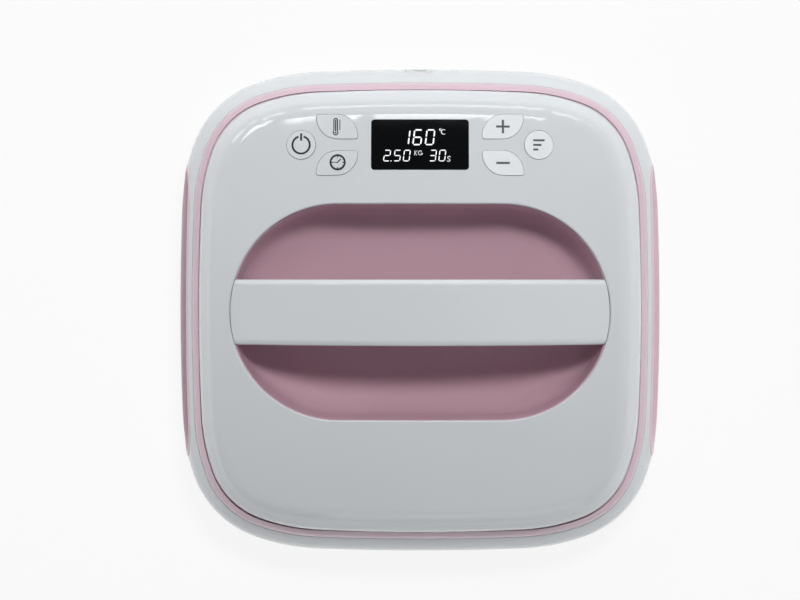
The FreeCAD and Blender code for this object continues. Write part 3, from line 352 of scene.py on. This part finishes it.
def raise_strokes(name, strokes, carrier, body, material, sizes):
    """Thin closed solids for flat strokes, drawn in millimetres about the middle of a node."""
    middle_x, middle_y = middle_of(carrier)
    height = surface_heights(carrier)
    mesh = bmesh.new()
    for pairs, closed in strokes:
        rows = []
        for pair in pairs:
            row = []
            for x, y in pair:
                px, py = middle_x + x * MM, middle_y + y * MM
                z = height(px, py)
                row.append(mesh.verts.new((px, py, z + sizes.print_lift)))
                row.append(mesh.verts.new((px, py, z - sizes.print_depth)))
            rows.append(row)
        count = len(rows)
        for i in range(count if closed else count - 1):
            a, b = rows[i], rows[(i + 1) % count]
            for k, m in ((0, 2), (2, 3), (3, 1), (1, 0)):
                mesh.faces.new((a[k], a[m], b[m], b[k]))
        if not closed:
            for row in (rows[0], rows[-1]):
                mesh.faces.new((row[0], row[1], row[3], row[2]))
    bmesh.ops.recalc_face_normals(mesh, faces=mesh.faces)
    data = bpy.data.meshes.new(name)
    mesh.to_mesh(data)
    mesh.free()
    data.materials.append(material)
    obj = bpy.data.objects.new(name, data)
    bpy.context.scene.collection.objects.link(obj)
    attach(obj, body)
    return obj


# Bars of a seven-segment digit: a is the top one, b to f follow clockwise, and g is the middle one
SEGMENTS = {
    "0": "abcdef", "1": "bc", "2": "abged", "3": "abgcd", "4": "fgbc",
    "5": "afgcd", "6": "afgedc", "7": "abc", "8": "abcdefg", "9": "abcdfg",
}


def digit_strokes(digit, x, y, height, width, stroke):
    """Lit bars of a seven-segment digit whose lower left corner is at x, y."""
    gap = stroke * BAR_GAP
    left, right = stroke / 2, width - stroke / 2
    low, middle, high = stroke / 2, height / 2, height - stroke / 2
    ends = {
        "a": ((left + gap, high), (right - gap, high)),
        "b": ((right, high - gap), (right, middle + gap)),
        "c": ((right, middle - gap), (right, low + gap)),
        "d": ((left + gap, low), (right - gap, low)),
        "e": ((left, low + gap), (left, middle - gap)),
        "f": ((left, middle + gap), (left, high - gap)),
        "g": ((left + gap, middle), (right - gap, middle)),
    }
    strokes = []
    for key in SEGMENTS[digit]:
        pairs, closed = line_pairs(*ends[key], stroke, tip=BAR_TIP, nib=stroke * BAR_NIB)
        slanted = [tuple((x + px + py * DIGIT_SLANT, y + py) for px, py in pair) for pair in pairs]
        strokes.append((slanted, closed))
    return strokes


def number_strokes(text, corner, height, form):
    """Digits of a number from left to right, with a point as a small square dot."""
    x, y = corner
    width, pitch, stroke = form
    strokes = []
    for character in text:
        if character == ".":
            dot, level = x - (pitch - width) / 2, y + stroke / 2
            strokes.append(line_pairs((dot - stroke / 2, level), (dot + stroke / 2, level), stroke))
            x += stroke
        else:
            strokes += digit_strokes(character, x, y, height, width, stroke)
            x += pitch
    return strokes


def unit_strokes():
    """Marks behind the numbers: a degree ring with a C, a K with a G, and an S."""
    degrees = [
        arc_pairs((11.3, 8.4), 0.5, 0, 360, 0.24, 16),
        arc_pairs((13.2, 7.1), 1.3, 50, 310, 0.3, 24),
    ]
    kilograms = [
        line_pairs((-3.1, -6.0), (-2.8, -3.3), 0.24),
        path_pairs([(-1.5, -3.3), (-2.8, -4.7), (-1.7, -6.0)], 0.22),
        arc_pairs((0.2, -4.65), 1.15, 45, 330, 0.24, 24),
        path_pairs([(0.3, -4.8), (1.3, -4.8), (1.2, -5.6)], 0.22),
    ]
    seconds = [
        path_pairs([(17.0, -6.9), (16.4, -6.6), (15.5, -6.8), (15.3, -7.4), (15.8, -7.9),
                    (16.5, -8.2), (16.7, -8.8), (16.2, -9.3), (15.4, -9.3), (14.9, -9.0)], 0.28),
    ]
    return degrees + kilograms + seconds


def power_strokes():
    """A ring with a gap at the top, and an upright bar in the gap."""
    stroke, half_gap = 1.1, 17
    return [arc_pairs((0, 0), 4.85, 90 + half_gap, 450 - half_gap, stroke, 60),
            line_pairs((0, 2.4), (0, 6.5), stroke)]


def thermometer_strokes():
    """A rounded tube over an open bulb, its filling, and a scale line beside it."""
    wall, tube_x = 0.6, -0.8
    left, right = tube_x - 1.0, tube_x + 1.0
    return [
        arc_pairs((tube_x, 3.6), 1.0, 0, 180, wall, 18),
        line_pairs((left, 3.6), (left, -2.4), wall),
        line_pairs((right, 3.6), (right, -2.4), wall),
        arc_pairs((tube_x, -3.4), 1.3, 140, 400, wall, 30),
        line_pairs((tube_x, 3.7), (tube_x, -2.6), 0.7),
        arc_pairs((tube_x, -3.4), 0.3, 0, 360, 0.5, 14),
        line_pairs((1.55, 3.9), (1.55, -2.0), 0.45),
    ]


def clock_strokes():
    """A dial with twelve marks, which are longer and bolder at the quarters, and two hands."""
    x, y = 0.4, 0.35
    strokes = [arc_pairs((x, y), 4.0, 0, 360, 1.05, 56)]
    for hour in range(12):
        angle = math.radians(30 * hour)
        cx, cy = math.cos(angle), math.sin(angle)
        inner, width = (2.7, 0.65) if hour % 3 == 0 else (3.1, 0.35)
        ends = [(x + reach * cx, y + reach * cy) for reach in (inner, 3.7)]
        strokes.append(line_pairs(*ends, width))
    strokes.append(line_pairs((0.0, -0.1), (2.1, 2.3), 0.6))
    strokes.append(line_pairs((0.7, 0.3), (-2.3, 0.35), 0.38))
    return strokes


def plus_strokes():
    """An upright bar with half a level bar on each side."""
    reach, stroke, upright = 3.8, 1.2, 1.24
    return [line_pairs((-reach, 0), (-upright / 2, 0), stroke),
            line_pairs((upright / 2, 0), (reach, 0), stroke),
            line_pairs((0, -reach), (0, reach), upright)]


def minus_strokes():
    """One level bar."""
    return [line_pairs((-3.8, 0), (3.8, 0), 1.2)]


def mode_strokes():
    """Three level bars of falling length."""
    return [line_pairs((-3.2, y), (end, y), 1.1) for y, end in ((2.6, 3.2), (0, 1.4), (-2.6, -0.4))]


class HEATPRESS_OT_white_shells(bpy.types.Operator):
    """Finish of the cover, handle and lower shell"""

    bl_idname = "heatpress.white_shells"
    bl_label = "White shells"

    def execute(self, context):
        shell = polished_abs("polished_white_abs", context.scene.press_colours.shell)
        bands = [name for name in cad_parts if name.startswith(("lower_shell", "side_panel"))]
        dress(shell, "top_cover", "handle_top_shell", "handle_bottom_shell", *bands)
        return {"FINISHED"}


class HEATPRESS_OT_pink_parts(bpy.types.Operator):
    """Finish of the trim ring, the bowl and the finger grips"""

    bl_idname = "heatpress.pink_parts"
    bl_label = "Pink parts"

    def execute(self, context):
        colours = context.scene.press_colours
        dress(satin_abs("satin_pink_abs", colours.pink), "handle_bowl")
        dress(polished_abs("polished_pink_abs", colours.trim), "trim_ring")
        # Thermoplastic rubber moulded against a blasted mould: soft sheen and no hard highlight
        # Its colour carries painted light: it is lighter than the bowl pink to offset the scoops'
        # shade
        grip = surface_material("soft_touch_pink_rubber", tuple(colours.grip),
                                roughness=0.3, grain_mm=0.5, bump_mm=0.006)
        dress(grip, "side_grip_left", "side_grip_right")
        return {"FINISHED"}


class HEATPRESS_OT_display(bpy.types.Operator):
    """Smoked window and the lit digits in it"""

    bl_idname = "heatpress.display"
    bl_label = "Display"

    def execute(self, context):
        scene = context.scene
        colours, sizes, readings = scene.press_colours, scene.press_sizes, scene.press_readings
        # Cast acrylic, flame polished: a hard mirror skin over a dark body
        acrylic = surface_material("polished_smoked_acrylic", tuple(colours.window),
                                   roughness=0.05, grain_mm=14.0, bump_mm=0.002,
                                   spread=0.01, rough_spread=0.01, ior=ACRYLIC_IOR)
        dress(acrylic, "display_window")
        # Light-emitting segments behind a diffuser: an even glow just brighter than white paint
        lit = surface_material("lit_display_segments", tuple(colours.digits),
                               roughness=0.5, grain_mm=1.2, bump_mm=0.001,
                               spread=0.01, emission=0.4)
        large, small = sizes.large_digit / MM, sizes.small_digit / MM
        strokes = (number_strokes(readings.temperature, TEMPERATURE_CORNER, large, LARGE_DIGIT)
                   + number_strokes(readings.force, FORCE_CORNER, small, SMALL_DIGIT)
                   + number_strokes(readings.time, TIME_CORNER, small, SMALL_DIGIT)
                   + unit_strokes())
        raise_strokes("display_digits", strokes, "display_window", PRESS_BODY,
                      lit, sizes)
        return {"FINISHED"}


class HEATPRESS_OT_buttons(bpy.types.Operator):
    """Finish of the six caps and the symbols printed on them"""

    bl_idname = "heatpress.buttons"
    bl_label = "Buttons"

    def execute(self, context):
        colours, sizes = context.scene.press_colours, context.scene.press_sizes
        # The right caps are painted a lighter white than the left ones; the extra whiteness is
        # painted light for the light they catch
        dress(lapped_abs("fine_gloss_white_abs", colours.caps), *LEFT_CAPS)
        dress(lapped_abs("fine_gloss_painted_light_abs", colours.painted_light_caps), *RIGHT_CAPS)
        dark = printed_ink("pad_printed_dark_ink", colours.ink)
        pale = printed_ink("pad_printed_grey_ink", colours.pale_ink)
        symbols = {
            "power_button": (dark, power_strokes()),
            "temperature_button": (dark, thermometer_strokes()),
            "timer_button": (dark, clock_strokes()),
            "plus_button": (pale, plus_strokes()),
            "minus_button": (pale, minus_strokes()),
            "mode_button": (pale, mode_strokes()),
        }
        for name, (ink, strokes) in symbols.items():
            raise_strokes(name.replace("_button", "_symbol"), strokes, name, name,
                          ink, sizes)
        return {"FINISHED"}


class HEATPRESS_OT_hot_side(bpy.types.Operator):
    """Finish of the plate, the skirt, the tray and the cord gland"""

    bl_idname = "heatpress.hot_side"
    bl_label = "Hot side"

    def execute(self, context):
        # Die-cast aluminium under a sprayed non-stick coating: dull grey with a fine orange-peel
        coating = surface_material("sprayed_nonstick_coating", linear("#6E6D6B"),
                                   roughness=0.42, grain_mm=0.7, bump_mm=0.015,
                                   spread=0.05, metallic=0.35, ior=COATING_IOR)
        dress(coating, "heat_plate")
        # Glass-filled nylon: black with a dry, slightly rough skin
        nylon = surface_material("glass_filled_black_nylon", linear("#1B1B1D"),
                                 roughness=0.6, grain_mm=0.6, bump_mm=0.02, spread=0.08)
        dress(nylon, "plate_skirt", "chassis_tray")
        # Moulded rubber: matt and nearly as pale as the shell; pale in itself, and lightened
        # further as painted light that softens the shade inside its bore
        rubber = surface_material("moulded_grey_rubber", linear("#DCDEDF"),
                                  roughness=0.6, grain_mm=0.5, bump_mm=0.012, ior=RUBBER_IOR)
        dress(rubber, "cord_gland")
        return {"FINISHED"}


# Material, colour, roughness, grain and bump in millimetres, metallic, and the nodes that have it
INNER_FINISHES = (
    # Unfilled nylon: ivory, with a waxy sheen
    ("natural_nylon_moulding", "#D9D4C6", 0.45, 0.5, 0.006, 0.0, ("button_guide", "cord_clamp")),
    # Solder mask on glass-epoxy: dark green and shiny
    ("solder_masked_board", "#1F6B3C", 0.3, 0.8, 0.006, 0.0, ("control_board", "power_board")),
    # Moulded component cases: black with a dull gloss
    ("black_moulded_component", "#1A1A1B", 0.45, 0.4, 0.008, 0.0, ("tact_switches", "buzzer")),
    # Stacked iron sheet under brown varnish: dull, with a little metal showing
    ("varnished_iron_laminations", "#6B6156", 0.5, 0.6, 0.02, 0.3, ("transformer",)),
    # Sleeve shrunk on to the can: dark blue and fairly shiny
    ("shrunk_pvc_sleeve", "#1D2433", 0.3, 0.9, 0.006, 0.0, ("filter_capacitor",)),
    # Pale moulded cases: putty colour with a dull gloss
    ("pale_moulded_case", "#C4C1B6", 0.42, 0.5, 0.006, 0.0, ("relay", "ribbon_connectors")),
    # Extruded aluminium: bright, with a soft spread from the die's fine lines
    ("extruded_aluminium", "#C8C8C8", 0.32, 0.5, 0.01, 1.0, ("triac_heatsink",)),
    # Drawn glass: pale with a mirror skin
    ("drawn_glass_tube", "#DCE0E2", 0.08, 4.0, 0.002, 0.0, ("fuse",)),
    # Moulded terminals: clear green with a dull gloss
    ("green_moulded_terminals", "#2B7A4A", 0.42, 0.5, 0.006, 0.0, ("terminal_block",)),
    # Glass-faced cell in a moulded frame: black and smooth
    ("black_display_cell", "#121214", 0.2, 2.0, 0.002, 0.0, ("display_module",)),
    # Drawn stainless tube: warm grey with a soft shine
    ("drawn_stainless_sheath", "#A39E96", 0.34, 0.3, 0.006, 1.0,
     ("heating_element", "temperature_sensor")),
    # Pressed mineral wool: cream and quite matt, with coarse fibres
    ("pressed_mineral_wool", "#DDD8C8", 0.9, 1.4, 0.25, 0.0, ("insulation_pad",)),
    # Zinc-plated sheet steel: cool grey with a cloudy shine
    ("zinc_plated_sheet", "#B6B7B9", 0.36, 2.5, 0.01, 1.0, ("heat_shield", "plate_standoffs")),
    # Fired steatite: off-white and dry
    ("fired_steatite", "#DAD7CB", 0.4, 0.4, 0.008, 0.0, ("thermal_cutoff",)),
    # Milled aluminium: bright, with fine cutter marks
    ("milled_aluminium_bar", "#C3C4C6", 0.3, 0.3, 0.006, 1.0, ("load_cells",)),
    # Zinc-plated screws: cool grey and a little shinier than the sheet
    ("zinc_plated_screws", "#B3B4B6", 0.34, 0.4, 0.006, 1.0,
     ("handle_screws", "bowl_screws", "board_screws", "plate_screws")),
    # Extruded PVC over flat conductors: grey, with ribs as wide as a conductor
    ("extruded_grey_pvc", "#A4A6A8", 0.45, 1.3, 0.02, 0.0, ("ribbon_cable",)),
)


class HEATPRESS_OT_inner_parts(bpy.types.Operator):
    """Finish of what the shells hide: boards, heater, cells and fasteners"""

    bl_idname = "heatpress.inner_parts"
    bl_label = "Inner parts"

    def execute(self, context):
        for name, colour, roughness, grain_mm, bump_mm, metallic, nodes in INNER_FINISHES:
            dress(surface_material(name, linear(colour), roughness, grain_mm, bump_mm,
                                   metallic=metallic), *nodes)
        return {"FINISHED"}


def area_lamp(name, place, aim, width, height, power):
    """A rectangular soft lamp that points at a place."""
    data = bpy.data.lights.new(name, "AREA")
    data.shape = "RECTANGLE"
    data.size, data.size_y = width, height
    data.energy = power
    lamp = bpy.data.objects.new(name, data)
    lamp.location = place
    lamp.rotation_euler = (Vector(aim) - Vector(place)).to_track_quat("-Z", "Y").to_euler()
    bpy.context.scene.collection.objects.link(lamp)
    return lamp


def window_pane(name, aim, left, right, near, far, glow):
    """A pane in the rear wall between two tilts, as bright as glow times white paper."""
    tilt, half_height = (near + far) / 2, PANE_DISTANCE * math.tan((far - near) / 2)
    middle = Vector(((left + right) / 2, 0.0, 0.0))
    lift = Vector((0.0, PANE_DISTANCE * math.sin(tilt), PANE_DISTANCE * math.cos(tilt)))
    width, height = right - left, 2 * half_height
    return area_lamp(name, aim + middle + lift, aim + middle, width, height,
                     glow * math.pi * width * height)


def seen_directly(tree, rays):
    """1 for what the camera sees itself, in a reflection or through glass."""
    mirrored = add_node(tree, "ShaderNodeMath", {
        0: rays["Is Camera Ray"], 1: rays["Is Glossy Ray"]}, operation="MAXIMUM")
    return add_node(tree, "ShaderNodeMath", {
        0: mirrored.outputs[0], 1: rays["Is Transmission Ray"]}, operation="MAXIMUM").outputs[0]


def lay_floor(scene, sizes):
    """White paper that keeps the shadow of the press."""
    material, tree = new_material("white_paper_floor")
    rays = add_node(tree, "ShaderNodeLightPath").outputs
    matt = add_node(tree, "ShaderNodeBsdfDiffuse", {"Color": linear(PAPER) + (1.0,)})
    glow = add_node(tree, "ShaderNodeEmission", {"Color": WHITE, "Strength": 1.0})
    share = add_node(tree, "ShaderNodeMath", {
        0: seen_directly(tree, rays), 1: PAPER_WHITENESS}, operation="MULTIPLY")
    paper = add_node(tree, "ShaderNodeMixShader", {
        "Fac": share.outputs[0], 1: matt.outputs[0], 2: glow.outputs[0]})
    add_node(tree, "ShaderNodeOutputMaterial", {"Surface": paper.outputs[0]})
    # A little below the hot plate, so that no two faces lie in one plane
    half, level = sizes.floor / 2, -sizes.floor_gap
    square = ((-half, -half), (half, -half), (half, half), (-half, half))
    data = bpy.data.meshes.new("floor")
    data.from_pydata([(x, y, level) for x, y in square], [], [(0, 1, 2, 3)])
    data.materials.append(material)
    floor = bpy.data.objects.new("floor", data)
    scene.collection.objects.link(floor)


def light_room(scene):
    """Dim ceiling over pale walls, so that the light gathers near the horizon."""
    world = bpy.data.worlds.new("soft_room")
    world.use_nodes = True
    tree = world.node_tree
    tree.nodes.clear()
    place = add_node(tree, "ShaderNodeTexCoord").outputs["Generated"]
    axes = add_node(tree, "ShaderNodeSeparateXYZ", {"Vector": place}).outputs
    ceiling = add_node(tree, "ShaderNodeMapRange", {
        "Value": axes["Z"], "From Min": WALL_FADE[0], "From Max": WALL_FADE[1],
        "To Min": 0.0, "To Max": 1.0}, interpolation_type="SMOOTHSTEP").outputs["Result"]
    light = add_node(tree, "ShaderNodeMix", {
        "Factor": ceiling, "A": WALL_COLOUR, "B": CEILING_COLOUR}, data_type="RGBA")
    # The walls to both sides are lit, the right one most, and those in front and behind are dimmer
    sideways = add_node(tree, "ShaderNodeMath", {0: axes["X"]}, operation="ABSOLUTE")
    glow = add_node(tree, "ShaderNodeMapRange", {
        "Value": sideways.outputs[0], "From Min": 0.0, "From Max": 1.0,
        "To Min": WALL_GLOW[0], "To Max": WALL_GLOW[1]})
    glow = add_node(tree, "ShaderNodeMath", {
        0: axes["X"], 1: RIGHT_WALL_EXTRA, 2: glow.outputs["Result"]}, operation="MULTIPLY_ADD")
    room = add_node(tree, "ShaderNodeBackground", {
        "Color": light.outputs["Result"], "Strength": glow.outputs[0]})
    # The camera sees plain white all round, and reflections see it where the walls are
    white = add_node(tree, "ShaderNodeBackground", {"Color": WHITE, "Strength": 1.0})
    rays = add_node(tree, "ShaderNodeLightPath").outputs
    walls = add_node(tree, "ShaderNodeMath", {0: 1.0, 1: ceiling}, operation="SUBTRACT")
    walls_seen = add_node(tree, "ShaderNodeMath", {
        0: walls.outputs[0], 1: seen_directly(tree, rays)}, operation="MULTIPLY")
    backdrop = add_node(tree, "ShaderNodeMath", {
        0: walls_seen.outputs[0], 1: rays["Is Camera Ray"]}, operation="MAXIMUM")
    sky = add_node(tree, "ShaderNodeMixShader", {
        "Fac": backdrop.outputs[0], 1: room.outputs[0], 2: white.outputs[0]})
    add_node(tree, "ShaderNodeOutputWorld", {"Surface": sky.outputs[0]})
    scene.world = world


def hang_lamps():
    """Panes behind the press, one lamp for the shadow and a weak one that fills the front."""
    for name, left, right, near, far, glow in PANES:
        window_pane(name, REAR_OF_COVER, left, right, math.radians(near), math.radians(far), glow)
    # Sun through a blind gives the one clear shadow; its own image stays off the glossy cover
    key = area_lamp("key_lamp", (0.16, 0.48, 1.2), (0.0, 0.0, 0.06), 0.3, 0.16, 7.3)
    key.visible_glossy = False
    area_lamp("front_fill", (0.3, -1.6, 1.0), (0.0, 0.0, 0.05), 1.4, 0.8, 3.0)


def set_camera(scene, sizes):
    """A long lens above the press, shifted so that the press stands a little off the middle."""
    data = bpy.data.cameras.new("camera")
    data.sensor_width = CAMERA_SENSOR
    data.lens = CAMERA_LENS
    data.shift_x, data.shift_y = CAMERA_SHIFT
    data.clip_end = CAMERA_REACH
    camera = bpy.data.objects.new("camera", data)
    camera.location = (0.0, CAMERA_Y, sizes.camera_height)
    tilt = math.atan2(CAMERA_Y, sizes.camera_height - CAMERA_AIM_Z)
    camera.rotation_euler = (-tilt, 0.0, 0.0)
    scene.collection.objects.link(camera)
    scene.camera = camera
    scene.view_settings.view_transform = "Standard"


class HEATPRESS_OT_stage(bpy.types.Operator):
    """Floor, room, lamps and the camera that looks down on the press"""

    bl_idname = "heatpress.stage"
    bl_label = "Stage"

    def execute(self, context):
        scene, sizes = context.scene, context.scene.press_sizes
        lay_floor(scene, sizes)
        light_room(scene)
        hang_lamps()
        set_camera(scene, sizes)
        return {"FINISHED"}


STEPS = (HEATPRESS_OT_stage, HEATPRESS_OT_white_shells, HEATPRESS_OT_pink_parts,
         HEATPRESS_OT_display, HEATPRESS_OT_buttons, HEATPRESS_OT_hot_side,
         HEATPRESS_OT_inner_parts)


class HEATPRESS_PT_panel(bpy.types.Panel):
    """Colours, sizes, readings and the steps that dress the press"""

    bl_idname = "HEATPRESS_PT_panel"
    bl_label = "Heat Press"
    bl_space_type = "VIEW_3D"
    bl_region_type = "UI"
    bl_category = "Heat Press"

    def draw(self, context):
        scene, layout = context.scene, self.layout
        for group in (scene.press_colours, scene.press_sizes, scene.press_readings):
            column = layout.column()
            for key in group.__annotations__:
                column.prop(group, key)
        for step in STEPS:
            layout.operator(step.bl_idname)


GROUPS = {"press_colours": PressColours, "press_sizes": PressSizes, "press_readings": PressReadings}
CLASSES = tuple(GROUPS.values()) + STEPS + (HEATPRESS_PT_panel,)


def register():
    for item in CLASSES:
        bpy.utils.register_class(item)
    for name, group in GROUPS.items():
        setattr(bpy.types.Scene, name, bpy.props.PointerProperty(type=group))


def unregister():
    for name in GROUPS:
        delattr(bpy.types.Scene, name)
    for item in reversed(CLASSES):
        bpy.utils.unregister_class(item)


def main():
    register()
    for step in STEPS:
        group, name = step.bl_idname.split(".")
        getattr(getattr(bpy.ops, group), name)()


if __name__ == "__main__":
    main()
